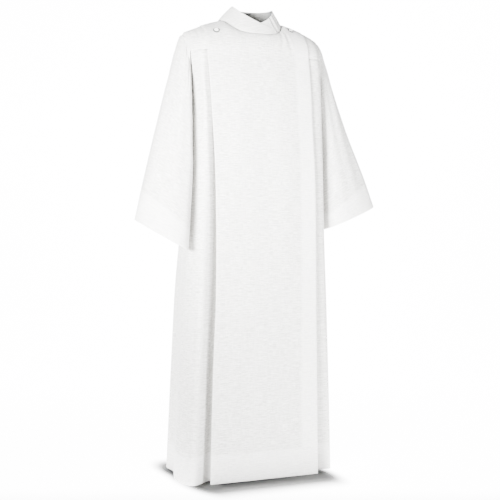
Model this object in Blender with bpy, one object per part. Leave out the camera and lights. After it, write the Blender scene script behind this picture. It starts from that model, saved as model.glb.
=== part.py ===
"""Front-wrap alb: a long white vestment, hollow as when it is worn.

The right front laps over the left one as a wide plain panel with a deep pleat behind its left edge.
The origin is the centre of the neck opening at shoulder height, where the shoulders carry the alb.
+Z is up, the front faces -Y, and the wearer's right is -X. Lengths are in metres.
The tables give heights above the hem, and the script moves them down to the origin's frame.
"""

import math

import bpy
import numpy as np

# Driving dimensions
NECK_HEIGHT = 1.431        # from the hem up to the shoulder line beside the neck
COLLAR_TOP = 1.476         # top edge of the collar
YOKE_HEIGHT = 1.315        # seam under the front yokes; above it the cloth turns back to the shoulders
UNDERARM_HEIGHT = 1.100
CLOTH = 0.0015             # wall thickness
SEAM = 0.0003              # space left at a seam
RIDGE_GAP = 0.0008         # the same where two walls meet as a ridge along the shoulders
LAYER_GAP = 0.0005         # space between cloth layers that lie on each other
SHOULDER_Y = -0.003        # the shoulder seams run along this line
SHOULDER_TIP = 0.2265      # from the centre to the armhole at the shoulder
LEFT_FULLER = 0.013        # the left side hangs out this much further
PLEAT_DEPTH = 0.050        # how far the pleat goes in behind the front panel
UNDER_END = -0.090         # free edge of the under front
PANEL_TOP = (-0.176, 0.163)   # the front panel's ends on the shoulder lines
SHOULDER_TILT = 0.025      # the wearer's left shoulder is held a little higher, by this much for each metre across
TOP_TURN = 78              # degrees through which the cloth turns back towards the shoulders
CLOTH_WHITE = (0.88, 0.88, 0.86)
SNAP_WHITE = (0.82, 0.82, 0.80)

# Rows and columns of the cloth walls
LOW_RISES = np.array([0.0, 0.12, 0.24, 0.36, 0.48, 0.60, 0.72, 0.84, 0.94, 1.03, UNDERARM_HEIGHT, 1.135, 1.17,
                      1.21, 1.26, YOKE_HEIGHT])
TOP_ROWS = 6
BACK_EVENED = 8            # times that the rows over the shoulder blades are evened out
PANEL_COLUMNS = 17
SIDE_COLUMNS = 16
YOKE_COLUMNS = 6
RIGHT_YOKE_UNDER = 3       # columns of the front panel that the right yoke reaches under
LEFT_YOKE_FROM = 5         # the panel's column where the left yoke starts under it
BACK_COLUMNS = 41
SLEEVE_COLUMNS = 30
SLEEVE_ROWS = 14
COLLAR_COLUMNS = 65
COLLAR_ROWS = 5
SLEEVE_LEAN = 0.16         # how far a sleeve's front and back lean in towards the body, of its width

# The pleat behind the panel's left edge: how far in each point lies, and how far behind the panel's face
PLEAT_PLACES = (0.045, 0.0485, PLEAT_DEPTH, 0.0485, 0.045, 0.025, 0.003)
PLEAT_BEHIND = (0.0125, 0.0113, 0.0083, 0.0053, 0.0041, 0.0039, 0.0037)

# A snap cap's side from its edge on the cloth to the dished middle
SNAP_SIDES = 20
SNAP_PROFILE = (
    # radius, height
    (0.0096, 0.0),
    (0.0100, 0.0008),
    (0.0098, 0.0018),
    (0.0088, 0.0026),
    (0.0070, 0.0026),
    (0.0055, 0.0019),
)

# The front panel: height, left and right edge, how far forward the edges and the middle are
PANEL = (
    # rise, left, right, edge_y, bulge
    (0.00, -0.183, 0.185, -0.112, 0.001),
    (0.20, -0.180, 0.181, -0.115, 0.003),
    (0.35, -0.177, 0.177, -0.119, 0.005),
    (0.55, -0.170, 0.174, -0.122, 0.007),
    (0.77, -0.1685, 0.172, -0.123, 0.009),
    (0.97, -0.172, 0.169, -0.121, 0.011),
    (1.11, -0.179, 0.163, -0.117, 0.013),
    (1.22, -0.184, 0.162, -0.109, 0.014),
    (1.315, -0.187, 0.161, -0.096, 0.014),
)

# The side of the right front: q is the bottom of the recess, n the front crest,
# s the side fold and e the side seam, or the armhole above the underarm
RIGHT_SIDE = (
    # rise, q_x, q_y, n_x, n_y, s_x, s_y, e_x, e_y
    (0.00, -0.168, -0.060, -0.231, -0.104, -0.2575, -0.010, -0.2430, 0.045),
    (0.20, -0.166, -0.062, -0.224, -0.104, -0.2500, -0.015, -0.2380, 0.040),
    (0.35, -0.163, -0.064, -0.217, -0.104, -0.2430, -0.020, -0.2330, 0.036),
    (0.55, -0.158, -0.068, -0.208, -0.103, -0.2350, -0.044, -0.2270, 0.030),
    (0.77, -0.156, -0.072, -0.199, -0.101, -0.2230, -0.056, -0.2200, 0.018),
    (0.95, -0.158, -0.074, -0.193, -0.098, -0.2130, -0.060, -0.2130, 0.008),
    (1.10, -0.164, -0.076, -0.193, -0.095, -0.2070, -0.060, -0.2100, -0.010),
    (1.17, -0.168, -0.078, -0.193, -0.092, -0.2050, -0.058, -0.2090, -0.032),
    (1.24, -0.171, -0.082, -0.196, -0.088, -0.2090, -0.062, -0.2125, -0.038),
    (1.315, -0.174, -0.088, -0.200, -0.085, -0.2170, -0.068, -0.2255, -0.050),
)

# The side of the left front, in the same way; gap is how far behind the panel the under front hangs
LEFT_SIDE = (
    # rise, gap, n_x, n_y, s_x, s_y, e_x, e_y
    (0.00, 0.070, 0.258, -0.062, 0.2710, -0.015, 0.2540, 0.045),
    (0.20, 0.047, 0.240, -0.082, 0.2600, -0.018, 0.2490, 0.040),
    (0.35, 0.034, 0.231, -0.090, 0.2530, -0.022, 0.2430, 0.036),
    (0.55, 0.022, 0.222, -0.095, 0.2450, -0.027, 0.2370, 0.030),
    (0.77, 0.014, 0.214, -0.096, 0.2340, -0.032, 0.2310, 0.022),
    (0.95, 0.010, 0.212, -0.094, 0.2250, -0.035, 0.2250, 0.012),
    (1.10, 0.008, 0.210, -0.091, 0.2210, -0.044, 0.2230, -0.006),
    (1.17, 0.007, 0.209, -0.089, 0.2210, -0.056, 0.2225, -0.032),
    (1.24, 0.006, 0.207, -0.086, 0.2200, -0.062, 0.2235, -0.038),
    (1.315, 0.004, 0.200, -0.085, 0.2170, -0.068, 0.2255, -0.050),
)

# The back edge of the right armhole, from the underarm up
ARMHOLE_BACK = (
    # rise, x, y
    (1.100, -0.2100, -0.010),
    (1.130, -0.2090, 0.027),
    (1.170, -0.2090, 0.044),
    (1.240, -0.2125, 0.052),
    (1.315, -0.2255, 0.050),
)

# The right half of the back: valley b, side crest l and k, valley f, crest g, valley h, and centre crest c
BACK = (
    # rise, b_x, b_y, l_x, l_y, k_x, k_y, f_x, f_y, g_x, g_y, h_x, h_y, c_y
    (0.00, -0.219, 0.108, -0.212, 0.192, -0.178, 0.222, -0.135, 0.196, -0.088, 0.226, -0.042, 0.200, 0.222),
    (0.35, -0.214, 0.090, -0.206, 0.162, -0.175, 0.188, -0.135, 0.174, -0.088, 0.194, -0.042, 0.178, 0.190),
    (0.60, -0.211, 0.078, -0.202, 0.138, -0.170, 0.162, -0.133, 0.156, -0.088, 0.168, -0.042, 0.160, 0.166),
    (0.80, -0.207, 0.065, -0.193, 0.112, -0.165, 0.138, -0.130, 0.140, -0.088, 0.148, -0.042, 0.145, 0.148),
    (0.95, -0.204, 0.055, -0.188, 0.098, -0.160, 0.124, -0.127, 0.131, -0.087, 0.137, -0.042, 0.137, 0.138),
    (1.10, -0.203, 0.050, -0.187, 0.090, -0.158, 0.115, -0.125, 0.125, -0.086, 0.130, -0.042, 0.132, 0.133),
    (1.17, -0.202, 0.066, -0.187, 0.092, -0.158, 0.114, -0.125, 0.123, -0.086, 0.128, -0.042, 0.130, 0.131),
    (1.24, -0.206, 0.070, -0.190, 0.092, -0.160, 0.110, -0.126, 0.118, -0.086, 0.122, -0.042, 0.124, 0.125),
    (1.315, -0.216, 0.066, -0.198, 0.083, -0.166, 0.098, -0.128, 0.106, -0.086, 0.110, -0.042, 0.112, 0.113),
)

# The neck opening from the front centre round to the back centre, on the right side
NECKLINE = (
    # turn, x, y, rise
    (0.000, 0.000, -0.086, 1.380),
    (0.058, -0.035, -0.083, 1.381),
    (0.116, -0.067, -0.070, 1.389),
    (0.191, -0.092, -0.039, 1.411),
    (0.262, -0.104, SHOULDER_Y, NECK_HEIGHT),
    (0.323, -0.097, 0.033, 1.436),
    (0.396, -0.062, 0.061, 1.438),
    (0.500, 0.000, 0.072, 1.439),
)
NECK_SIDE = 0.262          # the turn at which the neckline meets the shoulder line

# The shoulder line from the neck to the armhole
SHOULDER = (
    # x, rise
    (0.1040, 1.431),
    (0.1400, 1.421),
    (0.1780, 1.408),
    (0.2080, 1.394),
    (0.2265, 1.387),
)

# The sleeves: the outer line down the top of the arm, the underarm seam, the front-back place and half-depth,
# and how much lower the front hangs than the middle
RIGHT_SLEEVE = (
    # outer_x, outer_rise, inner_x, inner_rise, middle_y, half_depth, front_drop
    (-0.2265, 1.381, -0.2110, 1.100, 0.004, 0.046, 0.000),
    (-0.2390, 1.361, -0.2160, 1.072, 0.000, 0.062, 0.002),
    (-0.2540, 1.316, -0.2175, 1.034, -0.003, 0.072, 0.004),
    (-0.2740, 1.243, -0.2190, 0.990, -0.006, 0.080, 0.006),
    (-0.2970, 1.165, -0.2205, 0.938, -0.010, 0.086, 0.008),
    (-0.3240, 1.065, -0.2240, 0.880, -0.015, 0.090, 0.011),
    (-0.3490, 0.970, -0.2285, 0.824, -0.020, 0.093, 0.014),
    (-0.3730, 0.880, -0.2330, 0.768, -0.025, 0.094, 0.017),
    (-0.3930, 0.796, -0.2375, 0.714, -0.030, 0.094, 0.019),
)
LEFT_SLEEVE = (
    # outer_x, outer_rise, inner_x, inner_rise, middle_y, half_depth, front_drop
    (0.2265, 1.392, 0.2245, 1.100, 0.004, 0.046, 0.000),
    (0.2430, 1.375, 0.2300, 1.072, 0.000, 0.056, 0.000),
    (0.2600, 1.328, 0.2320, 1.036, -0.002, 0.060, 0.000),
    (0.2850, 1.255, 0.2340, 0.996, -0.005, 0.063, -0.001),
    (0.3120, 1.175, 0.2360, 0.954, -0.008, 0.066, -0.002),
    (0.3430, 1.090, 0.2380, 0.908, -0.011, 0.068, -0.003),
    (0.3770, 1.010, 0.2400, 0.862, -0.014, 0.070, -0.004),
    (0.4120, 0.930, 0.2425, 0.816, -0.017, 0.071, -0.005),
    (0.4430, 0.852, 0.2450, 0.772, -0.020, 0.072, -0.006),
)

# The collar from its over end round the neck to its under end
COLLAR = (
    # turn, share of full height
    (-0.100, 0.10),
    (-0.050, 0.25),
    (0.000, 0.37),
    (0.050, 0.52),
    (0.100, 0.66),
    (0.150, 0.79),
    (0.200, 0.91),
    (0.240, 1.00),
    (0.760, 1.00),
    (0.810, 0.94),
    (0.860, 0.88),
    (0.900, 0.78),
    (0.930, 0.67),
    (0.960, 0.52),
    (1.000, 0.35),
    (1.050, 0.22),
    (1.100, 0.10),
)
COLLAR_CENTRE = (0.004, -0.003)   # of the band's top edge
COLLAR_HALF_WIDTH = 0.070
COLLAR_HALF_DEPTH = 0.050
COLLAR_TUCK = 0.0023              # how far the under end lies inside the over end
COLLAR_LIFT = 0.0020              # how far the band's lower edge stands over the neckline

# Where the two snaps sit on the front panel: share of its width, and share of the way up from the yoke seam
RIGHT_SNAP_PLACE = (0.085, 0.48)
LEFT_SNAP_PLACE = (0.880, 0.62)

def spline(table, places):
    """A smooth line through a table's rows, read at the places given in its first column."""
    table = np.array(table, float)
    at = table[:, 0]
    values = table[:, 1:]
    slopes = np.gradient(values, at, axis=0)
    places = np.clip(np.asarray(places, float), at[0], at[-1])
    i = np.clip(np.searchsorted(at, places, side="right") - 1, 0, len(at) - 2)
    span = (at[i + 1] - at[i])[:, None]
    t = (places - at[i])[:, None] / span
    start = (1 + 2 * t) * (1 - t) ** 2 * values[i] + t * (1 - t) ** 2 * span * slopes[i]
    end = t * t * (3 - 2 * t) * values[i + 1] + t * t * (t - 1) * span * slopes[i + 1]
    return start + end


def along(points, count):
    """So many points evenly spaced along a smooth line through the given ones."""
    points = np.asarray(points, float)
    reach = np.concatenate([[0], np.cumsum(np.linalg.norm(np.diff(points, axis=0), axis=1))])
    fine = spline(np.column_stack([reach, points]), np.linspace(0, reach[-1], 12 * len(points)))
    reach = np.concatenate([[0], np.cumsum(np.linalg.norm(np.diff(fine, axis=0), axis=1))])
    even = np.linspace(0, reach[-1], count)
    return np.stack([np.interp(even, reach, fine[:, k]) for k in range(fine.shape[1])], axis=1)


def normals_of(grid, ring):
    """The outward normal at each point of a grid of rows, which close into rings where ring is true."""
    up = np.gradient(grid, axis=0)
    if ring:
        across = np.roll(grid, -1, axis=1) - np.roll(grid, 1, axis=1)
    else:
        across = np.gradient(grid, axis=1)
    normal = np.cross(across, up)
    return normal / np.linalg.norm(normal, axis=2, keepdims=True)


def moved_out(grid, distance, ring=False):
    """The grid moved out along its normals, by one distance or by one for each point."""
    return grid + normals_of(grid, ring) * np.asarray(distance)[..., None]


def plain_material(name, colour, roughness):
    """A Principled material."""
    material = bpy.data.materials.new(name)
    material.use_nodes = True
    shader = material.node_tree.nodes["Principled BSDF"]
    shader.inputs["Base Color"].default_value = (*colour, 1)
    shader.inputs["Roughness"].default_value = roughness
    shader.inputs["Metallic"].default_value = 0
    return material


def mesh_object(name, points, faces, material):
    """A named object with smooth faces that point out."""
    corners = np.array(points)[np.array(faces)]
    volume = np.einsum("ij,ij->i", corners[:, 0], np.cross(corners[:, 1], corners[:, 2])).sum()
    if volume < 0:
        faces = [face[::-1] for face in faces]
    mesh = bpy.data.meshes.new(name)
    mesh.from_pydata([tuple(map(float, point)) for point in points], [], faces)
    mesh.materials.append(material)
    mesh.shade_smooth()
    mesh.set_sharp_from_angle(angle=math.radians(60))
    obj = bpy.data.objects.new(name, mesh)
    bpy.context.collection.objects.link(obj)
    return obj


def cloth_wall(name, grid, material, ring=False, thickness=CLOTH):
    """A closed wall of cloth: its outer face is the grid, whose heights are above the hem."""
    rows, columns = grid.shape[:2]
    inner = moved_out(grid, -thickness, ring)
    points = np.concatenate([grid.reshape(-1, 3), inner.reshape(-1, 3)])
    points[:, 2] -= NECK_HEIGHT
    inside = rows * columns
    faces = []
    across = columns if ring else columns - 1
    for r in range(rows - 1):
        for c in range(across):
            a = r * columns + c
            b = r * columns + (c + 1) % columns
            d = a + columns
            e = b + columns
            faces += [(a, b, e), (a, e, d)]
            faces += [(inside + e, inside + b, inside + a), (inside + d, inside + e, inside + a)]
    edges = [((rows - 1) * columns + c, (rows - 1) * columns + (c + 1) % columns) for c in range(across)]
    edges += [((c + 1) % columns, c) for c in range(across)]
    if not ring:
        edges += [((r + 2) * columns - 1, (r + 1) * columns - 1) for r in range(rows - 1)]
        edges += [(r * columns, (r + 1) * columns) for r in range(rows - 1)]
    for a, b in edges:
        faces += [(a, b, inside + b), (a, inside + b, inside + a)]
    return mesh_object(name, points, faces, material)


def resampled(points, count):
    """So many points evenly spaced along straight lines through the given ones."""
    points = np.asarray(points, float)
    reach = np.concatenate([[0], np.cumsum(np.linalg.norm(np.diff(points, axis=0), axis=1))])
    even = np.linspace(0, reach[-1], count)
    return np.stack([np.interp(even, reach, points[:, k]) for k in range(3)], axis=1)


def trimmed(grid, edges, gap=SEAM):
    """The grid pulled back by the gap at the edges named: bottom and top row, first and last column."""
    grid = grid.copy()
    columns = grid.swapaxes(0, 1)
    inwards = {"bottom": grid, "top": grid[::-1], "first": columns, "last": columns[::-1]}
    for edge in edges:
        line = inwards[edge]
        step = line[1] - line[0]
        line[0] += step * gap / np.linalg.norm(step, axis=1, keepdims=True)
    return grid


def neck_points(turns):
    """Points of the neckline: turn 0 is the front centre, and the turns go round by the wearer's right."""
    right = np.array(NECKLINE)
    left = right[::-1] * (-1, -1, 1, 1) + (1, 0, 0, 0)
    once = np.concatenate([right, left[1:]])
    step = (1, 0, 0, 0)
    points = spline(np.concatenate([once[:-1] - step, once, once[1:] + step]), turns)
    points[:, 2] += SHOULDER_TILT * points[:, 0]
    return points


def shoulder_points(from_x, to_x):
    """A line of points on one shoulder."""
    x = np.linspace(from_x, to_x, 12)
    rise = spline(SHOULDER, abs(x))[:, 0] + SHOULDER_TILT * x
    return np.column_stack([x, np.full(len(x), SHOULDER_Y), rise])


def top_edge(right_x, left_x, side):
    """From a place on the right shoulder along the front (1) or back (-1) of the neckline to one on the left."""
    neck_x = NECKLINE[4][1]
    turns = np.linspace(NECK_SIDE, -NECK_SIDE, 41) if side > 0 else np.linspace(NECK_SIDE, 1 - NECK_SIDE, 41)
    return np.concatenate([shoulder_points(right_x, neck_x)[:-1], neck_points(turns),
                           shoulder_points(-neck_x, left_x)[1:]])


def turned_over(lower, upper, rows, evened=0):
    """Rows above the lower line that curve back to the upper line, as cloth does over the chest and shoulders."""
    turn = math.radians(TOP_TURN)
    t = np.arange(1, rows + 1) / rows
    ahead = (1 - np.cos(t * turn)) / (1 - math.cos(turn))
    height = np.sin(t * turn) / math.sin(turn)
    share = np.stack([t, ahead, height], axis=1)[:, None]
    grid = np.concatenate([lower[None], lower + share * (upper - lower)])
    for _ in range(evened):
        grid[1:-1, 1:-1] = grid[1:-1, 1:-1] / 2 + (grid[1:-1, :-2] + grid[1:-1, 2:]) / 4
    return grid[1:]


def panel_grid():
    """The front panel from the hem to the shoulders and neckline."""
    left, right, edge_y, bulge = spline(PANEL, LOW_RISES).T[..., None]
    share = np.linspace(0, 1, PANEL_COLUMNS)
    x = left + (right - left) * share
    y = edge_y - bulge * (1 - (2 * share - 1) ** 2)
    low = np.stack([x, y, np.broadcast_to(LOW_RISES[:, None], x.shape)], axis=2)
    edge = resampled(top_edge(*PANEL_TOP, 1), PANEL_COLUMNS)
    return np.concatenate([low, turned_over(low[-1], edge, TOP_ROWS)])


def side_points(table, rises):
    """The crest, side fold and side seam of a side front at each height."""
    values = spline(table, rises)[:, -6:]
    rises = np.asarray(rises)[:, None]
    return [np.hstack([values[:, k:k + 2], rises]) for k in (0, 2, 4)]


def right_side_grid(panel):
    """The right side panel, from the side seam round to the pleat and back out to the panel's edge."""
    rises = LOW_RISES
    crest, side, seam = side_points(RIGHT_SIDE, rises)
    recess = np.column_stack([spline(RIGHT_SIDE, rises)[:, :2], rises])
    rows = []
    for r in range(len(rises)):
        edge = panel[r, 0]
        inside = np.array([np.interp(edge[0] + d, panel[r, :, 0], panel[r, :, 1]) for d in PLEAT_PLACES])
        behind = np.column_stack([edge[0] + np.array(PLEAT_PLACES), inside + np.array(PLEAT_BEHIND),
                                  np.full(len(inside), rises[r])])
        visible = along([seam[r], side[r], crest[r], recess[r], behind[0]], SIDE_COLUMNS)
        rows.append(np.concatenate([visible, behind[1:]]))
    return np.array(rows)


def left_side_grid(panel):
    """The left side panel, from its free edge under the front panel round to the side seam."""
    rises = LOW_RISES
    gap = spline(LEFT_SIDE, rises)[:, 0]
    crest, side, seam = side_points(LEFT_SIDE, rises)
    rows = []
    for r in range(len(rises)):
        x = np.linspace(UNDER_END, panel[r, -1, 0] - 0.010, 6)
        y = np.interp(x, panel[r, :, 0], panel[r, :, 1]) + gap[r]
        under = np.column_stack([x, y, np.full(len(x), rises[r])])
        visible = along([under[-1], crest[r], side[r], seam[r]], SIDE_COLUMNS)
        rows.append(np.concatenate([under[:-1], visible]))
    return np.array(rows)


def yoke_grid(panel, table, side):
    """A front yoke from the armhole in under the front panel, for the wearer's right (-1) or left (1)."""
    upper = panel[len(LOW_RISES) - 1:]
    crest, fold, seam = (points[0] for points in side_points(table, [YOKE_HEIGHT]))
    panel_edge = 0 if side < 0 else -1
    lower = along([upper[0, panel_edge], crest, fold, seam], YOKE_COLUMNS)[1:]
    shoulder = resampled(shoulder_points(upper[-1, panel_edge, 0], side * SHOULDER_TIP), YOKE_COLUMNS)[1:]
    outer = np.concatenate([lower[None], turned_over(lower, shoulder, TOP_ROWS)])
    behind = CLOTH + LAYER_GAP
    rise_out = behind * np.linspace(1, 0, YOKE_COLUMNS)[1:]
    if side < 0:
        under = upper[:, :RIGHT_YOKE_UNDER]
        grid = np.concatenate([outer[:, ::-1], under], axis=1)
        depth = np.concatenate([rise_out[::-1], np.full(under.shape[1], behind)])
    else:
        under = upper[:, LEFT_YOKE_FROM:]
        grid = np.concatenate([under, outer], axis=1)
        depth = np.concatenate([np.full(under.shape[1], behind), rise_out])
    return moved_out(grid, -np.broadcast_to(depth, grid.shape[:2]))


def back_grid():
    """The back, from the left side seam round to the right one, up to the shoulders and neckline."""
    rises = LOW_RISES
    above = rises > UNDERARM_HEIGHT
    seams = []
    for table, side in ((RIGHT_SIDE, -1), (LEFT_SIDE, 1)):
        seam = side_points(table, rises)[2]
        hole = spline(ARMHOLE_BACK, rises[above])
        seam[above, 1] = hole[:, 1]
        seams.append(seam)
    b_x, b_y, l_x, l_y, k_x, k_y, f_x, f_y, g_x, g_y, h_x, h_y, c_y = spline(BACK, rises).T
    half = [(b_x, b_y), (l_x, l_y), (k_x, k_y), (f_x, f_y), (g_x, g_y), (h_x, h_y)]
    rows = []
    for r, rise in enumerate(rises):
        right = [(x[r], y[r], rise) for x, y in half]
        fuller = LEFT_FULLER * np.array([1, 0.9, 0.7, 0.3, 0, 0])
        left = [(-x + more, y, z) for (x, y, z), more in zip(right, fuller)]
        rows.append(along([seams[1][r], *left, (0, c_y[r], rise), *right[::-1], seams[0][r]], BACK_COLUMNS))
    low = np.array(rows)
    edge = resampled(top_edge(-SHOULDER_TIP, SHOULDER_TIP, -1), BACK_COLUMNS)[::-1]
    return np.concatenate([low, turned_over(low[-1], edge, TOP_ROWS, BACK_EVENED)])


def armhole(front_edge, back_edge, side):
    """The armhole as a ring of points from the shoulder tip down the front and up the back, just outside the body."""
    half = SLEEVE_COLUMNS // 2 + 1
    front = resampled(front_edge, half)
    back = resampled(back_edge, half)
    ring = np.concatenate([front, back[-2:0:-1]])
    ring[:, 0] += side * 2 * SEAM
    return ring


def sleeve_grid(table, ring, side):
    """A bell sleeve from the cuff up to the armhole ring."""
    stations = np.column_stack([np.arange(len(table)), table])
    places = np.linspace(0, len(table) - 1, SLEEVE_ROWS)
    angle = np.linspace(0, 2 * math.pi, SLEEVE_COLUMNS, endpoint=False)
    rings = [ring]
    for place, row in zip(places[1:], spline(stations, places[1:])):
        outer_x, outer_z, inner_x, inner_z, middle_y, half_depth, drop = row
        share = (1 + np.cos(angle)) / 2 - SLEEVE_LEAN * min(1, place / 4) * np.sin(angle) ** 2
        rings.append(np.column_stack([
            inner_x + (outer_x - inner_x) * share,
            middle_y - half_depth * np.sin(angle),
            inner_z + (outer_z - inner_z) * share - drop * np.sin(angle),
        ]))
    grid = np.array(rings)[::-1]
    return grid if side < 0 else grid[:, ::-1]


def collar_grid():
    """The collar band from its under end round the neck to its over end."""
    turns = np.linspace(COLLAR[-1][0], COLLAR[0][0], COLLAR_COLUMNS)
    share = np.interp(turns, *np.array(COLLAR).T)
    base = neck_points(turns)
    middle = np.array(COLLAR_CENTRE)
    way = base[:, :2] - middle
    way /= np.linalg.norm(way, axis=1, keepdims=True)
    top = np.column_stack([middle + way * (COLLAR_HALF_WIDTH, COLLAR_HALF_DEPTH), np.full(len(turns), COLLAR_TOP)])
    tuck = COLLAR_TUCK * np.clip((turns - 0.68) / 0.12, 0, 1)
    for line in (base, top):
        line[:, :2] -= way * tuck[:, None]
    base[:, 2] += COLLAR_LIFT
    up = np.linspace(0, 1, COLLAR_ROWS)[:, None, None] * share[:, None]
    return base + up * (top - base)


def snap(name, upper, place):
    """A round snap cap, dished in the middle, on the front panel."""
    rows, columns = upper.shape[:2]
    c = place[0] * (columns - 1)
    r = place[1] * (rows - 1)
    i, j = int(r), int(c)
    corner = upper[i, j]
    across = upper[i, j + 1] - corner
    up = upper[i + 1, j] - corner
    centre = corner + (c - j) * across + (r - i) * up
    out = np.cross(across, up)
    out /= np.linalg.norm(out)
    across = across / np.linalg.norm(across)
    up = np.cross(out, across)
    centre = centre + out * 3 * SEAM - (0, 0, NECK_HEIGHT)
    points = [centre]
    for radius, height in SNAP_PROFILE:
        for k in range(SNAP_SIDES):
            angle = 2 * math.pi * k / SNAP_SIDES
            points.append(centre + radius * (math.cos(angle) * across + math.sin(angle) * up) + height * out)
    points.append(centre + SNAP_PROFILE[-1][1] * 0.9 * out)
    faces = []
    last = len(SNAP_PROFILE) - 1
    for k in range(SNAP_SIDES):
        n = (k + 1) % SNAP_SIDES
        faces.append((0, 1 + n, 1 + k))
        for ring in range(last):
            a = 1 + ring * SNAP_SIDES
            d = a + SNAP_SIDES
            faces += [(a + k, a + n, d + n), (a + k, d + n, d + k)]
        a = 1 + last * SNAP_SIDES
        faces.append((a + k, a + n, len(points) - 1))
    return mesh_object(name, points, faces, plain_material(name + "_plastic", SNAP_WHITE, 0.35))


def clear_scene():
    for obj in list(bpy.data.objects):
        bpy.data.objects.remove(obj, do_unlink=True)


def cloth(name, grid, ring=False):
    """One piece of the alb's cloth with its own material."""
    return cloth_wall(name, grid, plain_material(name + "_cloth", CLOTH_WHITE, 0.9), ring)


clear_scene()

panel = panel_grid()
right_side = right_side_grid(panel)
left_side = left_side_grid(panel)
right_yoke = yoke_grid(panel, RIGHT_SIDE, -1)
left_yoke = yoke_grid(panel, LEFT_SIDE, 1)
back = back_grid()

cloth("front_wrap", trimmed(panel, ["top"], RIDGE_GAP))
cloth("right_side_front", trimmed(right_side, ["top", "first"]))
cloth("left_side_front", trimmed(left_side, ["top", "last"]))
cloth("right_front_yoke", trimmed(trimmed(right_yoke, ["bottom", "first"]), ["top"], RIDGE_GAP))
cloth("left_front_yoke", trimmed(trimmed(left_yoke, ["bottom", "last"]), ["top"], RIDGE_GAP))
cloth("back", trimmed(trimmed(back, ["first", "last"]), ["top"], RIDGE_GAP))

low = len(LOW_RISES)
hole = LOW_RISES >= UNDERARM_HEIGHT
for name, table, side, front, yoke in (
    ("right_sleeve", RIGHT_SLEEVE, -1, right_side[hole, 0], right_yoke[1:, 0]),
    ("left_sleeve", LEFT_SLEEVE, 1, left_side[hole, -1], left_yoke[1:, -1]),
):
    back_column = back[:, -1 if side < 0 else 0]
    back_edge = np.concatenate([back_column[:low][hole], back_column[low:]])
    front_edge = np.concatenate([front, yoke])
    cloth(name, sleeve_grid(table, armhole(front_edge[::-1], back_edge[::-1], side), side), ring=True)

cloth("collar", collar_grid())
upper_panel = panel[len(LOW_RISES) - 1:]
snap("right_snap", upper_panel, RIGHT_SNAP_PLACE)
snap("left_snap", upper_panel, LEFT_SNAP_PLACE)
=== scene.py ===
import math

import bpy
import numpy as np
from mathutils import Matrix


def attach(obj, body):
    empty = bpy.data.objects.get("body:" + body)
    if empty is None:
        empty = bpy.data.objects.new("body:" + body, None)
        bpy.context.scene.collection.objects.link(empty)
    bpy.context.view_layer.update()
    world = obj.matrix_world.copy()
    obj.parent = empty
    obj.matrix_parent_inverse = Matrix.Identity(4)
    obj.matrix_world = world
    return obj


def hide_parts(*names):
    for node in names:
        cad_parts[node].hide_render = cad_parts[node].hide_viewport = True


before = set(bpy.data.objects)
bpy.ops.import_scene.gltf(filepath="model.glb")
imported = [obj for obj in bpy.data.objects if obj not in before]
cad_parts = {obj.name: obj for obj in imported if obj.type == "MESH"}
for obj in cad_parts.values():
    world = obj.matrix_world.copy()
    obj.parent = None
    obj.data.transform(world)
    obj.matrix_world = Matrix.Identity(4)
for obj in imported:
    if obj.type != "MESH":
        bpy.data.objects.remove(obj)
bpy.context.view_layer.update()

# CAMERA
# A long lens on a tripod, level with the middle of the skirt.
# It stands in front, a little round to the wearer's right.
CAMERA_DISTANCE = 3.22
CAMERA_HEIGHT = -0.724
turn = math.radians(25)
camera_data = bpy.data.cameras.new("camera")
camera_data.sensor_width = 36
camera_data.lens = 72.7
camera = bpy.data.objects.new("camera", camera_data)
camera.location = (-math.sin(turn) * CAMERA_DISTANCE, -math.cos(turn) * CAMERA_DISTANCE, CAMERA_HEIGHT)
camera.rotation_euler = (math.radians(90), 0, -turn)
bpy.context.collection.objects.link(camera)
bpy.context.scene.camera = camera


# ROOM
# A white photo studio: one roll of white paper as the floor, which curves up behind.
# The hem hangs just over the floor. The key light is low at the viewer's left, and a fill is low in front.
def linear(hex_colour):
    """An sRGB hex colour as linear red, green, blue and alpha."""
    parts = [int(hex_colour[i:i + 2], 16) / 255 for i in (1, 3, 5)]
    return (*[c / 12.92 if c <= 0.04045 else ((c + 0.055) / 1.055) ** 2.4 for c in parts], 1)


def add(tree, kind, inputs=None, **settings):
    """Adds a node with its settings; an input is a value, or the output linked to it."""
    node = tree.nodes.new(kind)
    for key, value in settings.items():
        setattr(node, key, value)
    for key, value in (inputs or {}).items():
        if isinstance(value, bpy.types.NodeSocket):
            tree.links.new(value, node.inputs[key])
        else:
            node.inputs[key].default_value = value
    return node


def new_material(name, levels):
    """A material, its node tree and its shader, whose levels are set."""
    material = bpy.data.materials.new(name)
    material.use_nodes = True
    shader = material.node_tree.nodes["Principled BSDF"]
    for key, value in levels.items():
        shader.inputs[key].default_value = value
    return material, material.node_tree, shader


def two_tones(tree, share, dark, light):
    """A colour between a dark and a light one, by the share."""
    ramp = add(tree, "ShaderNodeValToRGB", {"Fac": share})
    ramp.color_ramp.elements[0].color = linear(dark)
    ramp.color_ramp.elements[1].color = linear(light)
    return ramp.outputs["Color"]


def mesh_object(name, points, faces, material):
    """A smooth mesh in one material, linked to the scene."""
    mesh = bpy.data.meshes.new(name)
    mesh.from_pydata(points, [], faces)
    mesh.shade_smooth()
    mesh.materials.append(material)
    made = bpy.data.objects.new(name, mesh)
    bpy.context.collection.objects.link(made)
    return made


HEM_MIDDLE = (0.01, 0.055)     # of the shade on the paper: a rectangle with round corners, along x and y
HEM_HALF = (0.185, 0.104)
SHADE_REACH = (0.075, 0.19)    # how far the shade runs on around it
GLOW = 14.0

# Studio paper: matt white, a little uneven
paper, tree, shader = new_material("studio_paper", {"Roughness": 1.0, "Specular IOR Level": 0.0})
cloud = add(tree, "ShaderNodeTexNoise", {"Scale": 1.5, "Detail": 3.0})
tone = two_tones(tree, cloud.outputs["Fac"], "#d2d2d2", "#dadada")
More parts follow.
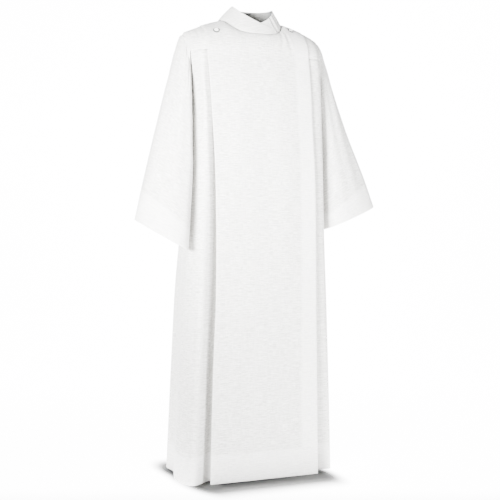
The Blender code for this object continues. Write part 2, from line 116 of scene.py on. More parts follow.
# It glows by itself as painted light, in place of lamps below lighting it from behind, up to just outside the
# picture. Around the hem it doesn't glow and its colour is darkened: a painted shadow of the garment.
place = add(tree, "ShaderNodeTexCoord")
place = add(tree, "ShaderNodeSeparateXYZ", {0: place.outputs["Object"]})
level_place = add(tree, "ShaderNodeCombineXYZ", {"X": place.outputs["X"], "Y": place.outputs["Y"]})
away = add(tree, "ShaderNodeVectorMath", {0: level_place.outputs[0], 1: (math.sin(turn), math.cos(turn), 0)},
           operation="DOT_PRODUCT")
across = add(tree, "ShaderNodeVectorMath", {0: level_place.outputs[0], 1: (math.cos(turn), -math.sin(turn), 0)},
             operation="DOT_PRODUCT")
across = add(tree, "ShaderNodeMath", {0: across.outputs["Value"]}, operation="ABSOLUTE")
lit_width = add(tree, "ShaderNodeMath", {0: away.outputs["Value"], 1: -0.25, 2: across.outputs[0]},
                operation="MULTIPLY_ADD")
lit_width = add(tree, "ShaderNodeMapRange", {"Value": lit_width.outputs[0], "From Min": 0.86, "From Max": 1.5,
                                             "To Min": 1.0, "To Max": 0.0})
lit_height = add(tree, "ShaderNodeMapRange", {"Value": place.outputs["Z"], "From Min": 1.1, "From Max": 1.5,
                                              "To Min": 1.0, "To Max": 0.0})
behind = add(tree, "ShaderNodeMapRange", {"Value": away.outputs["Value"], "From Min": -0.75, "From Max": -0.2})
aside = level_place.outputs[0]
for step, other in (("SUBTRACT", (*HEM_MIDDLE, 0)), ("ABSOLUTE", (0, 0, 0)), ("SUBTRACT", (*HEM_HALF, 0)),
                    ("MAXIMUM", (0, 0, 0)), ("MULTIPLY", (1 / SHADE_REACH[0], 1 / SHADE_REACH[1], 0))):
    aside = add(tree, "ShaderNodeVectorMath", {0: aside, 1: other}, operation=step).outputs[0]
aside = add(tree, "ShaderNodeVectorMath", {0: aside}, operation="LENGTH")
# Painted shadow of the garment on the paper: near the hem its colour is darkened, and below its glow is taken away
painted_hem_shadow = add(tree, "ShaderNodeMapRange", {"Value": aside.outputs["Value"], "From Min": 0.42, "From Max": 0.85,
                                           "To Min": 0.3, "To Max": 1.0})
aside = add(tree, "ShaderNodeMapRange", {"Value": aside.outputs["Value"], "From Min": 0.58, "From Max": 1.2,
                                         "To Max": GLOW}, interpolation_type="SMOOTHSTEP")
tone = add(tree, "ShaderNodeVectorMath", {0: tone, 1: painted_hem_shadow.outputs["Result"]}, operation="MULTIPLY")
tree.links.new(tone.outputs["Vector"], shader.inputs["Base Color"])
# The paper's glow is painted light, in place of lamps behind it
glow = behind.outputs["Result"]
for share in (aside, lit_width, lit_height):
    glow = add(tree, "ShaderNodeMath", {0: glow, 1: share.outputs["Result"]}, operation="MULTIPLY").outputs[0]
tree.links.new(glow, shader.inputs["Emission Strength"])

NECK_HEIGHT = 1.431        # the tables give heights above the hem; the frame's origin is this much higher
FLOOR_HEIGHT = -NECK_HEIGHT - 0.012
BEND_START = 2.2           # the floor ends this far behind the garment and curves up with the bend's radius
BEND_RADIUS = 1.6
STRIPS = 12
profile = [(-6.0, 0.0), (BEND_START, 0.0)]
profile += [(BEND_START + BEND_RADIUS * math.sin(a), BEND_RADIUS * (1 - math.cos(a)))
            for a in np.linspace(0, math.pi / 2, 24)[1:]]
profile += [(BEND_START + BEND_RADIUS, 6.0)]
points = []
for across in np.linspace(-9, 9, STRIPS + 1):
    for away, up in profile:
        points.append((across * math.cos(turn) + away * math.sin(turn),
                       -across * math.sin(turn) + away * math.cos(turn), FLOOR_HEIGHT + up))
count = len(profile)
faces = [(i * count + j, (i + 1) * count + j, (i + 1) * count + j + 1, i * count + j + 1)
         for i in range(STRIPS) for j in range(count - 1)]
paper_roll = mesh_object("paper_roll", points, faces, paper)

world = bpy.data.worlds.new("studio")
world.use_nodes = True
world.node_tree.nodes["Background"].inputs["Color"].default_value = linear("#fbfcff")
world.node_tree.nodes["Background"].inputs["Strength"].default_value = 0.16
bpy.context.scene.world = world

for name, place, aim, size, spread, power in (
    ("key_light", (-1.75, -1.45, -0.5), (0, 0, -0.3), 0.8, 62, 88),
    ("front_fill", (1.15, -3.0, -1.1), (0, 0, -0.36), 0.8, 66, 62),
):
    light = bpy.data.lights.new(name, "AREA")
    light.size = size
    light.spread = math.radians(spread)
    light.energy = power
    lamp = bpy.data.objects.new(name, light)
    way = np.array(aim, float) - np.array(place, float)
    lamp.location = place
    lamp.rotation_euler = (math.acos(-way[2] / np.linalg.norm(way)), 0, math.atan2(way[1], way[0]) - math.pi / 2)
    bpy.context.collection.objects.link(lamp)


# FRONT PANEL
# The wide over front of the wearer's right front, cut in one piece from the shoulders and neckline to the hem.
# White linen-look weave. Its right and left edges are folded in and stitched, and so is the deep hem.
YOKE_HEIGHT = 1.315        # seam under the front yokes
UNDERARM_HEIGHT = 1.100
CAD_WALL = 0.0015          # the solids' wall
LAYER_GAP = 0.0005
SEAM = 0.0003              # half of the gap between two pieces at a seam
NECK_HALF = 0.104          # from the neck's middle to where a shoulder line starts
SHOULDER_Y = -0.003
SHOULDER_TIP = 0.2265
SHOULDER_TILT = 0.025      # the wearer's left shoulder is higher, by this much for each metre across
PANEL_TOP = (-0.176, 0.163)
CLOTH = 0.0007             # one layer of the cloth
HEM = 0.087                # depth of the skirt's hem
FACING_START = 0.835       # share of the panel's width where the facing of its free edge begins
STITCH_DIP = 0.0009        # how far a line of stitches draws the cloth in
FINER = 4                  # columns of the mesh for one of the solids'
TOP_ROWS = 26              # rows from the yoke seam's height up to the shoulders


def spline(table, places):
    """A smooth line through a table's rows, read at the places given in its first column."""
    table = np.array(table, float)
    at = table[:, 0]
    values = table[:, 1:]
    slopes = np.gradient(values, at, axis=0)
    places = np.clip(np.asarray(places, float), at[0], at[-1])
    i = np.clip(np.searchsorted(at, places, side="right") - 1, 0, len(at) - 2)
    span = (at[i + 1] - at[i])[:, None]
    t = (places - at[i])[:, None] / span
    start = (1 + 2 * t) * (1 - t) ** 2 * values[i] + t * (1 - t) ** 2 * span * slopes[i]
    end = t * t * (3 - 2 * t) * values[i + 1] + t * t * (t - 1) * span * slopes[i + 1]
    return start + end


def reach_of(points):
    """How far along a line each of its points lies."""
    return np.concatenate([[0], np.cumsum(np.linalg.norm(np.diff(points, axis=0), axis=1))])


def read_at(places, reach, values):
    """The values at some places along a line, read between those at its points."""
    return np.stack([np.interp(places, reach, column) for column in values.T], axis=1)


def resampled(points, count):
    """So many points evenly spaced along straight lines through the given ones."""
    points = np.asarray(points, float)
    reach = reach_of(points)
    return read_at(np.linspace(0, reach[-1], count), reach, points)


def along(points, count):
    """So many points evenly spaced along a smooth line through the given ones."""
    points = np.asarray(points, float)
    reach = reach_of(points)
    fine = spline(np.column_stack([reach, points]), np.linspace(0, reach[-1], 40 * len(points)))
    return resampled(fine, count)


def neck_points(turns):
    """Points of the neckline: turn 0 is the front centre, and the turns go round by the wearer's right."""
    right = np.array([
        # turn, x, y, rise
        (0.000, 0.000, -0.086, 1.380),
        (0.058, -0.035, -0.083, 1.381),
        (0.116, -0.067, -0.070, 1.389),
        (0.191, -0.092, -0.039, 1.411),
        (0.262, -0.104, SHOULDER_Y, NECK_HEIGHT),
        (0.323, -0.097, 0.033, 1.436),
        (0.396, -0.062, 0.061, 1.438),
        (0.500, 0.000, 0.072, 1.439),
    ])
    left = right[::-1] * (-1, -1, 1, 1) + (1, 0, 0, 0)
    once = np.concatenate([right, left[1:]])
    step = (1, 0, 0, 0)
    found = spline(np.concatenate([once[:-1] - step, once, once[1:] + step]), turns)
    found[:, 2] += SHOULDER_TILT * found[:, 0]
    return found


def shoulder_points(from_x, to_x):
    """A line of points on one shoulder."""
    line = [(0.1040, 1.431), (0.1400, 1.421), (0.1780, 1.408), (0.2080, 1.394), (0.2265, 1.387)]
    x = np.linspace(from_x, to_x, 12)
    return np.column_stack([x, np.full(len(x), SHOULDER_Y), spline(line, abs(x))[:, 0] + SHOULDER_TILT * x])


def top_edge(right_x, left_x, side):
    """From a place on the right shoulder along the front (1) or back (-1) of the neckline to one on the left."""
    turns = np.linspace(0.262, -0.262, 81) if side > 0 else np.linspace(0.262, 0.738, 81)
    return np.concatenate([shoulder_points(right_x, -NECK_HALF)[:-1], neck_points(turns),
                           shoulder_points(NECK_HALF, left_x)[1:]])


def turned_over(lower, upper, rows, evened=0):
    """Rows above the lower line that curve back to the upper line, as cloth does over the chest and shoulders."""
    curl = math.radians(78)
    t = np.arange(1, rows + 1) / rows
    ahead = (1 - np.cos(t * curl)) / (1 - math.cos(curl))
    height = np.sin(t * curl) / math.sin(curl)
    share = np.stack([t, ahead, height], axis=1)[:, None]
    grid = np.concatenate([lower[None], lower + share * (upper - lower)])
    for _ in range(evened):
        grid[1:-1, 1:-1] = grid[1:-1, 1:-1] / 2 + (grid[1:-1, :-2] + grid[1:-1, 2:]) / 4
    return grid[1:]


def normals_of(grid, ring=False):
    """The outward normal at each point of a grid of rows, which close into rings where ring is true."""
    up = np.gradient(grid, axis=0)
    across = np.roll(grid, -1, axis=1) - np.roll(grid, 1, axis=1) if ring else np.gradient(grid, axis=1)
    normal = np.cross(across, up)
    return normal / np.maximum(np.linalg.norm(normal, axis=2, keepdims=True), 1e-9)


def moved_out(grid, distance, ring=False):
    """The grid moved out along its normals, by one distance or by one for each point."""
    return grid + normals_of(grid, ring) * np.asarray(distance)[..., None]


def creased(grid, across, up, table, ring=False):
    """The grid with soft uneven troughs and ridges in it. Each runs from (across, up) to (across, up) in metres,
    bows by a little, and has a width and a depth, which is below zero for a ridge."""
    move = np.zeros(across.shape)
    for k, (from_a, from_u, to_a, to_u, bow, width, depth) in enumerate(table):
        way = np.array([to_a - from_a, to_u - from_u])
        length = np.linalg.norm(way)
        way /= length
        t = ((across - from_a) * way[0] + (up - from_u) * way[1]) / length
        inside = np.clip(t, 0, 1)
        off = (across - from_a) * -way[1] + (up - from_u) * way[0] - bow * 4 * inside * (1 - inside)
        taper = np.sin(math.pi * inside) ** 0.8 * (1 + 0.22 * np.sin(9 * inside + 1.7 * k))
        wide = width * (0.8 + 0.4 * inside)
        shape = np.exp(-(off / wide) ** 2) - 0.45 * np.exp(-((abs(off) - 1.9 * wide) / wide) ** 2)
        move -= depth * taper * shape
    return moved_out(grid, move, ring)


def uneven(across, up, size, seed):
    """A slow rise and fall all over, as in cloth that has been folded away and hung out again."""
    rng = np.random.default_rng(seed)
    total = np.zeros(across.shape)
    for _ in range(9):
        angle = rng.uniform(-0.5, 0.5)
        wave = 2 * math.pi / rng.uniform(0.07, 0.22)
        total += np.sin(wave * (across * math.cos(angle) + up * math.sin(angle) * 0.35) + rng.uniform(0, 6.28))
    return total * size / 3


def extra_lines(values, places, beside=0.0022):
    """The sorted values with each place and its two neighbours added, and none else that close."""
    values = np.asarray(values, float)
    for place in places:
        values = values[abs(values - place) > 1.7 * beside]
        values = np.concatenate([values, [place - beside, place, place + beside]])
    return np.sort(values)


def up_the_cloth(grid):
    """How far across and up the cloth each point of a grid lies, with the hem at 0 and the middle column at 0."""
    across = np.cumsum(np.linalg.norm(np.diff(grid, axis=1), axis=2), axis=1)
    across = np.concatenate([np.zeros((len(grid), 1)), across], axis=1)
    up = np.cumsum(np.linalg.norm(np.diff(grid, axis=0), axis=2), axis=0)
    up = np.concatenate([np.zeros((1, grid.shape[1])), up], axis=0)
    return across - across[:, grid.shape[1] // 2][:, None], up


def cloth_mesh(name, grid, material, ring=False, thick=CLOTH, doubled=None, turned=False):
    """A thin shell of cloth whose outer face is the grid, with rounded edges. The weave's coordinates are metres
    across and up the cloth. Doubled says where the cloth is folded in and lies twice."""
    rows, columns = grid.shape[:2]
    doubled = np.zeros((rows, columns)) if doubled is None else np.broadcast_to(doubled, (rows, columns))
    normal = normals_of(grid, ring)
    depth = thick * (1 + doubled)
    inner = grid - normal * depth[..., None]
    outer = grid.copy()
    outer[..., 2] -= NECK_HEIGHT
    inner[..., 2] -= NECK_HEIGHT
    closed = np.concatenate([grid, grid[:, :1]], axis=1) if ring else grid
    u, v = up_the_cloth(closed)
    weave = np.stack([v, u] if turned else [u, v], axis=2)
    r, c = np.meshgrid(np.arange(rows - 1), np.arange(columns if ring else columns - 1), indexing="ij")
    quad_rows = np.stack([r, r, r + 1, r + 1], axis=-1).reshape(-1, 4)
    quad_columns = np.stack([c, c + 1, c + 1, c], axis=-1).reshape(-1, 4)
    face = quad_rows * columns + quad_columns % columns
    size = rows * columns
    faces = [face, face[:, ::-1] + size]
    corner = weave[quad_rows, quad_columns]
    corners = [corner, corner[:, ::-1]]
    points = [outer.reshape(-1, 3), inner.reshape(-1, 3)]
    # The edges are rounded by one more line of points, which stands out by half of the thickness
    if ring:
        borders = [[(0, k) for k in range(columns + 1)], [(rows - 1, k) for k in range(columns, -1, -1)]]
    else:
        borders = [[(0, k) for k in range(columns)] + [(k, columns - 1) for k in range(1, rows)]
                   + [(rows - 1, k) for k in range(columns - 2, -1, -1)] + [(k, 0) for k in range(rows - 2, -1, -1)]]
    start = 2 * size
    for border in borders:
        row, column = np.array(border).T
        place = weave[row, column]
        column = column % columns
        out = np.where((row == 0)[:, None], grid[0, column] - grid[1, column], 0)
        out = out + np.where((row == rows - 1)[:, None], grid[-1, column] - grid[-2, column], 0)
        if not ring:
            out = out + np.where((column == 0)[:, None], grid[row, 0] - grid[row, 1], 0)
            out = out + np.where((column == columns - 1)[:, None], grid[row, -1] - grid[row, -2], 0)
        out /= np.maximum(np.linalg.norm(out, axis=1, keepdims=True), 1e-9)
        middle = (outer[row, column] + inner[row, column]) / 2 + out * depth[row, column][:, None] * 0.45
        points.append(middle[:-1])
        face_line = row * columns + column
        middle_line = start + np.arange(len(row))
        middle_line[-1] = start
        for a, b in ((face_line, middle_line), (middle_line, face_line + size)):
            faces.append(np.stack([a[1:], a[:-1], b[:-1], b[1:]], axis=1))
            corners.append(np.stack([place[1:], place[:-1], place[:-1], place[1:]], axis=1))
        start += len(row) - 1
    points = np.concatenate(points)
    faces = np.concatenate([f.reshape(-1, 4) for f in faces])
    corners = np.concatenate([c.reshape(-1, 4, 2) for c in corners])
    piece = mesh_object(name, points.tolist(), faces.tolist(), material)
    piece.data.uv_layers.new(name="weave").data.foreach_set("uv", corners.reshape(-1).astype(np.float32))
    level = np.concatenate([doubled.reshape(-1), doubled.reshape(-1), np.ones(len(points) - 2 * size)])
    piece.data.attributes.new("doubled", "FLOAT", "POINT").data.foreach_set("value", level.astype(np.float32))
    return piece


def stitching(name, grid, *places, ring=False):
    """Sewing thread as short stitches along some rows and columns of a grid."""
    every, radius = 0.0034, 0.00022
    normals = normals_of(grid, ring)
    girth = [(math.cos(a), math.sin(a)) for a in np.linspace(0, 2 * math.pi, 5, endpoint=False)]
    shape = [(-0.5, 0, -0.6), (0.5, 0, -0.6)]
    for place, wide in ((-0.32, 0.8), (0, 1.0), (0.32, 0.8)):
        shape += [(place, wide * x, wide * z) for x, z in girth]
    shape = np.array(shape)
    ends = [(0, 2 + (k + 1) % 5, 2 + k) for k in range(5)] + [(1, 12 + k, 12 + (k + 1) % 5) for k in range(5)]
    sides = [(2 + r * 5 + k, 2 + r * 5 + (k + 1) % 5, 7 + r * 5 + (k + 1) % 5, 7 + r * 5 + k)
             for r in range(2) for k in range(5)]
    points, faces = [], []
    for place in places:
        line, normal = grid[place], normals[place]
        if ring:
            line, normal = (np.concatenate([values, values[:1]]) for values in (line, normal))
        reach = reach_of(line)
        middles = np.arange(every / 2, reach[-1], every)
        at = read_at(middles, reach, line)
        up = read_at(middles, reach, normal)
        way = read_at(middles + 0.0005, reach, line) - at
        way /= np.maximum(np.linalg.norm(way, axis=1, keepdims=True), 1e-9)
        side = np.cross(up, way)
        for k in range(len(middles)):
            first = len(points)
            points += list(at[k] + up[k] * radius * 0.3 + shape[:, :1] * way[k] * every * 0.8
                           + shape[:, 1:2] * side[k] * radius + shape[:, 2:] * up[k] * radius)
            faces += [tuple(first + i for i in face) for face in ends + sides]
    points = np.array(points) - (0, 0, NECK_HEIGHT)
    piece = mesh_object(name, points.tolist(), faces, thread)
    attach(piece, "root")
    return piece


def worn_by_root(piece, nodes):
    """The piece takes the place of its solids."""
    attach(piece, "root")
    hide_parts(*nodes)


WEAVE_REPEAT = 0.0009      # two threads of the plain weave

# Linen-look polyester-cotton: a plain weave 0.45 mm to the thread, with slubs 10 to 60 mm long across it
linen, tree, shader = new_material("linen_look_cloth", {
    "Roughness": 0.86, "Specular IOR Level": 0.25, "Sheen Weight": 0.18, "Sheen Roughness": 0.5})
weave = add(tree, "ShaderNodeUVMap", uv_map="weave")
layers = add(tree, "ShaderNodeAttribute", attribute_name="doubled")
slubs = []
for stretch, noise in (((24, 400, 1), {"Detail": 2.0, "Roughness": 0.6}), ((70, 800, 1), {"Detail": 1.0}),
                       ((420, 30, 1), {"Detail": 1.0})):
    stretched = add(tree, "ShaderNodeMapping", {"Vector": weave.outputs["UV"], "Scale": stretch})
    found = add(tree, "ShaderNodeTexNoise", {"Vector": stretched.outputs["Vector"], "Scale": 1.0, **noise})
    slubs.append(found.outputs["Fac"])
long_slubs, short_slubs, upright_slubs = slubs
clouds = add(tree, "ShaderNodeTexNoise", {"Vector": weave.outputs["UV"], "Scale": 7.0, "Detail": 3.0})
both = add(tree, "ShaderNodeMath", {0: long_slubs, 1: short_slubs}, operation="ADD")
both = add(tree, "ShaderNodeMath", {0: upright_slubs, 1: 0.35, 2: both.outputs[0]}, operation="MULTIPLY_ADD")
slub_tone = add(tree, "ShaderNodeMapRange", {"Value": both.outputs[0], "From Min": 0.96, "From Max": 1.41})
cloth_tone = two_tones(tree, slub_tone.outputs["Result"], "#aaa9a6", "#dfdedb")
double_share = add(tree, "ShaderNodeMath", {0: layers.outputs["Fac"], 1: 0.36}, operation="MULTIPLY")
double_tone = add(tree, "ShaderNodeMix", {"Factor": double_share.outputs[0], "A": cloth_tone,
                                          "B": linear("#f4f3f1")}, data_type="RGBA")
cloud_tone = add(tree, "ShaderNodeMapRange", {"Value": clouds.outputs["Fac"], "From Min": 0.3, "From Max": 0.7,
                                              "To Min": 0.985, "To Max": 1.0})
final_tone = add(tree, "ShaderNodeVectorMath", {0: double_tone.outputs[2], 1: cloud_tone.outputs["Result"]},
                 operation="MULTIPLY")
# Painted shade on the collar's inner layer, darkened by its share
painted_shade_share = add(tree, "ShaderNodeAttribute", attribute_name="painted_collar_shade")
final_tone = add(tree, "ShaderNodeMix", {"Factor": painted_shade_share.outputs["Fac"], "A": final_tone.outputs["Vector"],
                                         "B": linear("#2e3437")}, data_type="RGBA")
tree.links.new(final_tone.outputs[2], shader.inputs["Base Color"])
threads = add(tree, "ShaderNodeSeparateXYZ", {0: weave.outputs["UV"]})
waves = []
for axis in "XY":
    wave = add(tree, "ShaderNodeMath", {0: threads.outputs[axis], 1: 2 * math.pi / WEAVE_REPEAT},
               operation="MULTIPLY")
    waves.append(add(tree, "ShaderNodeMath", {0: wave.outputs[0]}, operation="SINE").outputs[0])
crossing = add(tree, "ShaderNodeMath", {0: waves[0], 1: waves[1]}, operation="MULTIPLY")
height = add(tree, "ShaderNodeMath", {0: crossing.outputs[0], 1: 0.12, 2: both.outputs[0]}, operation="MULTIPLY_ADD")
relief = add(tree, "ShaderNodeBump", {"Height": height.outputs[0], "Distance": 0.00045, "Strength": 0.45})
tree.links.new(relief.outputs["Normal"], shader.inputs["Normal"])

# White polyester thread, twisted
thread, tree, shader = new_material("white_thread", {"Roughness": 0.6})
twist = add(tree, "ShaderNodeTexCoord")
twist = add(tree, "ShaderNodeTexNoise", {"Vector": twist.outputs["Object"], "Scale": 900.0, "Detail": 1.0})
tree.links.new(two_tones(tree, twist.outputs["Fac"], "#dcdbd8", "#f1f0ed"), shader.inputs["Base Color"])

rises = extra_lines(np.linspace(0, YOKE_HEIGHT, 150), [HEM])
hem_row = int(np.argmin(abs(rises - HEM)))
left, right, edge_y, bulge = spline([
    # rise, left, right, edge_y, bulge
    (0.00, -0.183, 0.185, -0.112, 0.001),
    (0.20, -0.180, 0.181, -0.115, 0.003),
    (0.35, -0.177, 0.177, -0.119, 0.005),
    (0.55, -0.170, 0.174, -0.122, 0.007),
    (0.77, -0.1685, 0.172, -0.123, 0.009),
    (0.97, -0.172, 0.169, -0.121, 0.011),
    (1.11, -0.179, 0.163, -0.117, 0.013),
    (1.22, -0.184, 0.162, -0.109, 0.014),
    (1.315, -0.187, 0.161, -0.096, 0.014),
], rises).T[..., None]
PANEL_COLUMNS = 16 * FINER + 1
share = np.linspace(0, 1, PANEL_COLUMNS)
x = left + (right - left) * share
y = edge_y - bulge * (1 - (2 * share - 1) ** 2)
low = np.stack([x, y, np.broadcast_to(rises[:, None], x.shape)], axis=2)
edge = resampled(top_edge(*PANEL_TOP, 1), PANEL_COLUMNS)
panel = np.concatenate([low, turned_over(low[-1], edge, TOP_ROWS)])


def hem_and_facing(up, hem=HEM, facing=0):
    """Where the cloth is doubled: below the hem's stitch line, and where the facing lies."""
    return np.maximum(np.clip((hem - up) / 0.002 + 0.5, 0, 1), facing)


def hem_stitched(grid, columns=np.s_[:]):
    """The grid with a fine groove along the stitch line of the skirt's hem."""
    dip = np.zeros(grid.shape[:2])
    dip[hem_row, columns] = -STITCH_DIP
    return moved_out(grid, dip)


across, up = up_the_cloth(panel)
worked = creased(panel, across, up, [
    # from across, up, to across, up, bow, width, depth
    (0.083, 1.43, 0.070, 1.32, 0.004, 0.0045, 0.0020),
    (0.106, 1.42, 0.112, 1.31, -0.003, 0.0045, 0.0018),
    (0.094, 1.42, 0.092, 1.33, 0.000, 0.0040, -0.0012),
    (0.060, 1.44, 0.035, 1.38, 0.003, 0.0045, 0.0014),
    (-0.095, 1.43, -0.085, 1.36, 0.002, 0.0050, 0.0006),
    (-0.120, 1.42, -0.135, 1.35, 0.002, 0.0050, 0.0006),
    (-0.070, 0.00, -0.045, 0.52, 0.010, 0.0300, 0.0018),
    (0.060, 0.00, 0.040, 0.62, -0.012, 0.0340, 0.0016),
    (0.125, 0.00, 0.120, 0.45, 0.006, 0.0220, 0.0016),
    (-0.130, 0.05, -0.120, 0.75, 0.008, 0.0260, 0.0013),
    (-0.010, 0.70, 0.020, 1.20, 0.012, 0.0400, 0.0013),
])
worked = moved_out(worked, uneven(across, up, 0.0005, 11) * np.clip((1.36 - up) / 0.1, 0, 1))
panel_face = hem_stitched(worked)
facing = np.clip((share - FACING_START) * 60, 0, 1)
front_wrap = cloth_mesh("front_wrap_cloth", panel_face, linen, doubled=hem_and_facing(up, facing=facing))
sewing = stitching("front_wrap_stitching", panel_face, np.s_[hem_row], np.s_[-TOP_ROWS:, 1])
worn_by_root(front_wrap, ["front_wrap"])


# RIGHT SIDE FRONT
# The side of the over front, from the side seam forward to the deep pleat, whose folds lie behind the panel's edge.
# The same cloth, sewn to the yoke above and to the back at the side; its hem runs on from the panel's.
SHOWN_COLUMNS = 46         # of a side front, beside the panel
BEHIND_COLUMNS = 19        # of the pleat, behind the panel
right_table = [
    # q is the bottom of the pleat, n the front crest, s the side fold and e the side seam
    # rise, q_x, q_y, n_x, n_y, s_x, s_y, e_x, e_y
    (0.00, -0.168, -0.060, -0.231, -0.104, -0.2575, -0.010, -0.2430, 0.045),
    (0.20, -0.166, -0.062, -0.224, -0.104, -0.2500, -0.015, -0.2380, 0.040),
    (0.35, -0.163, -0.064, -0.217, -0.104, -0.2430, -0.020, -0.2330, 0.036),
    (0.55, -0.158, -0.068, -0.208, -0.103, -0.2350, -0.044, -0.2270, 0.030),
    (0.77, -0.156, -0.072, -0.199, -0.101, -0.2230, -0.056, -0.2200, 0.018),
    (0.95, -0.158, -0.074, -0.193, -0.098, -0.2130, -0.060, -0.2130, 0.008),
    (1.10, -0.164, -0.076, -0.193, -0.095, -0.2070, -0.060, -0.2100, -0.010),
    (1.17, -0.168, -0.078, -0.193, -0.092, -0.2050, -0.058, -0.2090, -0.032),
    (1.24, -0.171, -0.082, -0.196, -0.088, -0.2090, -0.062, -0.2125, -0.038),
    (1.315, -0.174, -0.088, -0.200, -0.085, -0.2170, -0.068, -0.2255, -0.050),
]
left_table = [
    # rise, gap behind the panel, n_x, n_y, s_x, s_y, e_x, e_y
    (0.00, 0.070, 0.258, -0.062, 0.2710, -0.015, 0.2540, 0.045),
    (0.20, 0.047, 0.240, -0.082, 0.2600, -0.018, 0.2490, 0.040),
    (0.35, 0.034, 0.231, -0.090, 0.2530, -0.022, 0.2430, 0.036),
    (0.55, 0.022, 0.222, -0.095, 0.2450, -0.027, 0.2370, 0.030),
    (0.77, 0.014, 0.214, -0.096, 0.2340, -0.032, 0.2310, 0.022),
    (0.95, 0.010, 0.212, -0.094, 0.2250, -0.035, 0.2250, 0.012),
    (1.10, 0.008, 0.210, -0.091, 0.2210, -0.044, 0.2230, -0.006),
    (1.17, 0.007, 0.209, -0.089, 0.2210, -0.056, 0.2225, -0.032),
    (1.24, 0.006, 0.207, -0.086, 0.2200, -0.062, 0.2235, -0.038),
    (1.315, 0.004, 0.200, -0.085, 0.2170, -0.068, 0.2255, -0.050),
]


def side_points(table, rises):
    """The front crest, side fold and side seam of a side front at each height."""
    values = spline(table, rises)[:, -6:]
    rises = np.asarray(rises)[:, None]
    return [np.hstack([values[:, k:k + 2], rises]) for k in (0, 2, 4)]


def pulled_back(grid, edges, gap=SEAM):
    """The grid pulled back by the gap at the edges named: bottom and top row, first and last column."""
    grid = grid.copy()
    columns = grid.swapaxes(0, 1)
    inwards = {"bottom": grid, "top": grid[::-1], "first": columns, "last": columns[::-1]}
    for edge in edges:
        line = inwards[edge]
        step = line[1] - line[0]
        line[0] += step * gap / np.linalg.norm(step, axis=1, keepdims=True)
    return grid


def seam_rolled(grid, edges, depth=0.0014):
    """The grid with its sewn edges turned in a little, so that a seam shows as a soft groove."""
    sink = np.zeros(grid.shape[:2])
    for edge in edges:
        line = {"bottom": np.s_[0], "top": np.s_[-1], "first": np.s_[:, 0], "last": np.s_[:, -1]}[edge]
        sink[line] = -depth
    return moved_out(grid, sink)


crest, side, seam = side_points(right_table, rises)
bottom = np.column_stack([spline(right_table, rises)[:, :2], rises])
# The bottom of the pleat is tucked a little further behind the panel, and the cloth in front of it is full
tucked = np.interp(rises, (0, 0.2, 0.5, 1.15, 1.25, YOKE_HEIGHT), (0.003, 0.008, 0.011, 0.011, 0.004, 0))
bottom[:, 0] += tucked
bellied = (crest + bottom) / 2 + np.column_stack([0.35 * tucked, -0.5 * tucked, 0 * tucked])
pleat_places = (0.045, 0.0485, 0.050, 0.0485, 0.045, 0.025, 0.003)
pleat_behind = (0.0125, 0.0113, 0.0083, 0.0053, 0.0041, 0.0039, 0.0037)
rows = []
for r in range(len(rises)):
    edge = low[r, 0]
    inside = np.array([np.interp(edge[0] + d, low[r, :, 0], low[r, :, 1]) for d in pleat_places])
    behind = np.column_stack([edge[0] + np.array(pleat_places), inside + np.array(pleat_behind),
                              np.full(len(inside), rises[r])])
    visible = along([seam[r], side[r], crest[r], bellied[r], bottom[r], behind[0]], SHOWN_COLUMNS)
    rows.append(np.concatenate([visible, resampled(behind, BEHIND_COLUMNS)[1:]]))
right_side = np.array(rows)
across, up = up_the_cloth(right_side)
worked = pulled_back(right_side, ["top", "first"])
shown = np.clip((60 - np.arange(across.shape[1])) / 10, 0, 1)
worked = creased(worked, across, up, [
    (-0.075, 0.05, -0.060, 0.70, 0.006, 0.0130, 0.0014),
    (-0.030, 0.10, -0.028, 0.90, -0.004, 0.0110, 0.0010),
    (-0.050, 0.95, -0.046, 1.30, 0.003, 0.0080, 0.0009),
    (-0.020, 1.08, -0.022, 1.31, 0.002, 0.0060, 0.0008),
])
worked = moved_out(worked, uneven(across, up, 0.0006, 23) * shown)
worked = hem_stitched(seam_rolled(worked, ["top", "first"]), np.s_[:SHOWN_COLUMNS])
right_side_front = cloth_mesh("right_side_front_cloth", worked, linen, doubled=hem_and_facing(up))
sewing = stitching("right_side_front_stitching", worked, np.s_[hem_row, :SHOWN_COLUMNS])
worn_by_root(right_side_front, ["right_side_front"])


# LEFT SIDE FRONT
# The side of the under front: it runs on behind the panel, where its free edge hangs, and round to the side seam.
# Only what lies beside the panel shows. It is sewn to its yoke above and to the back at the side.
crest, side, seam = side_points(left_table, rises)
gap = spline(left_table, rises)[:, 0]
rows = []
for r in range(len(rises)):
    x = np.linspace(-0.090, low[r, -1, 0] - 0.010, 16)
    under = np.column_stack([x, np.interp(x, low[r, :, 0], low[r, :, 1]) + gap[r], np.full(len(x), rises[r])])
    visible = along([under[-1], crest[r], side[r], seam[r]], SHOWN_COLUMNS)
    rows.append(np.concatenate([under[:-1], visible]))
left_side = np.array(rows)
across, up = up_the_cloth(left_side)
worked = pulled_back(left_side, ["top", "last"])
worked = creased(worked, across, up, [
    (0.080, 0.02, 0.060, 0.60, 0.008, 0.0140, 0.0016),
    (0.120, 0.05, 0.105, 0.80, -0.006, 0.0120, 0.0012),
    (0.100, 0.95, 0.085, 1.28, 0.004, 0.0100, 0.0010),
])
# The cloth behind the panel is calm above the hem, so that it stays clear of the panel
calm = np.clip((rises - 0.1) / 0.3, 0, 1)[:, None] * np.clip((18 - np.arange(across.shape[1])) / 8, 0, 1)
worked = moved_out(worked, uneven(across, up, 0.0006, 31) * (1 - calm))
worked = hem_stitched(seam_rolled(worked, ["top", "last"]))
left_side_front = cloth_mesh("left_side_front_cloth", worked, linen, doubled=hem_and_facing(up))
sewing = stitching("left_side_front_stitching", worked, hem_row)
worn_by_root(left_side_front, ["left_side_front"])


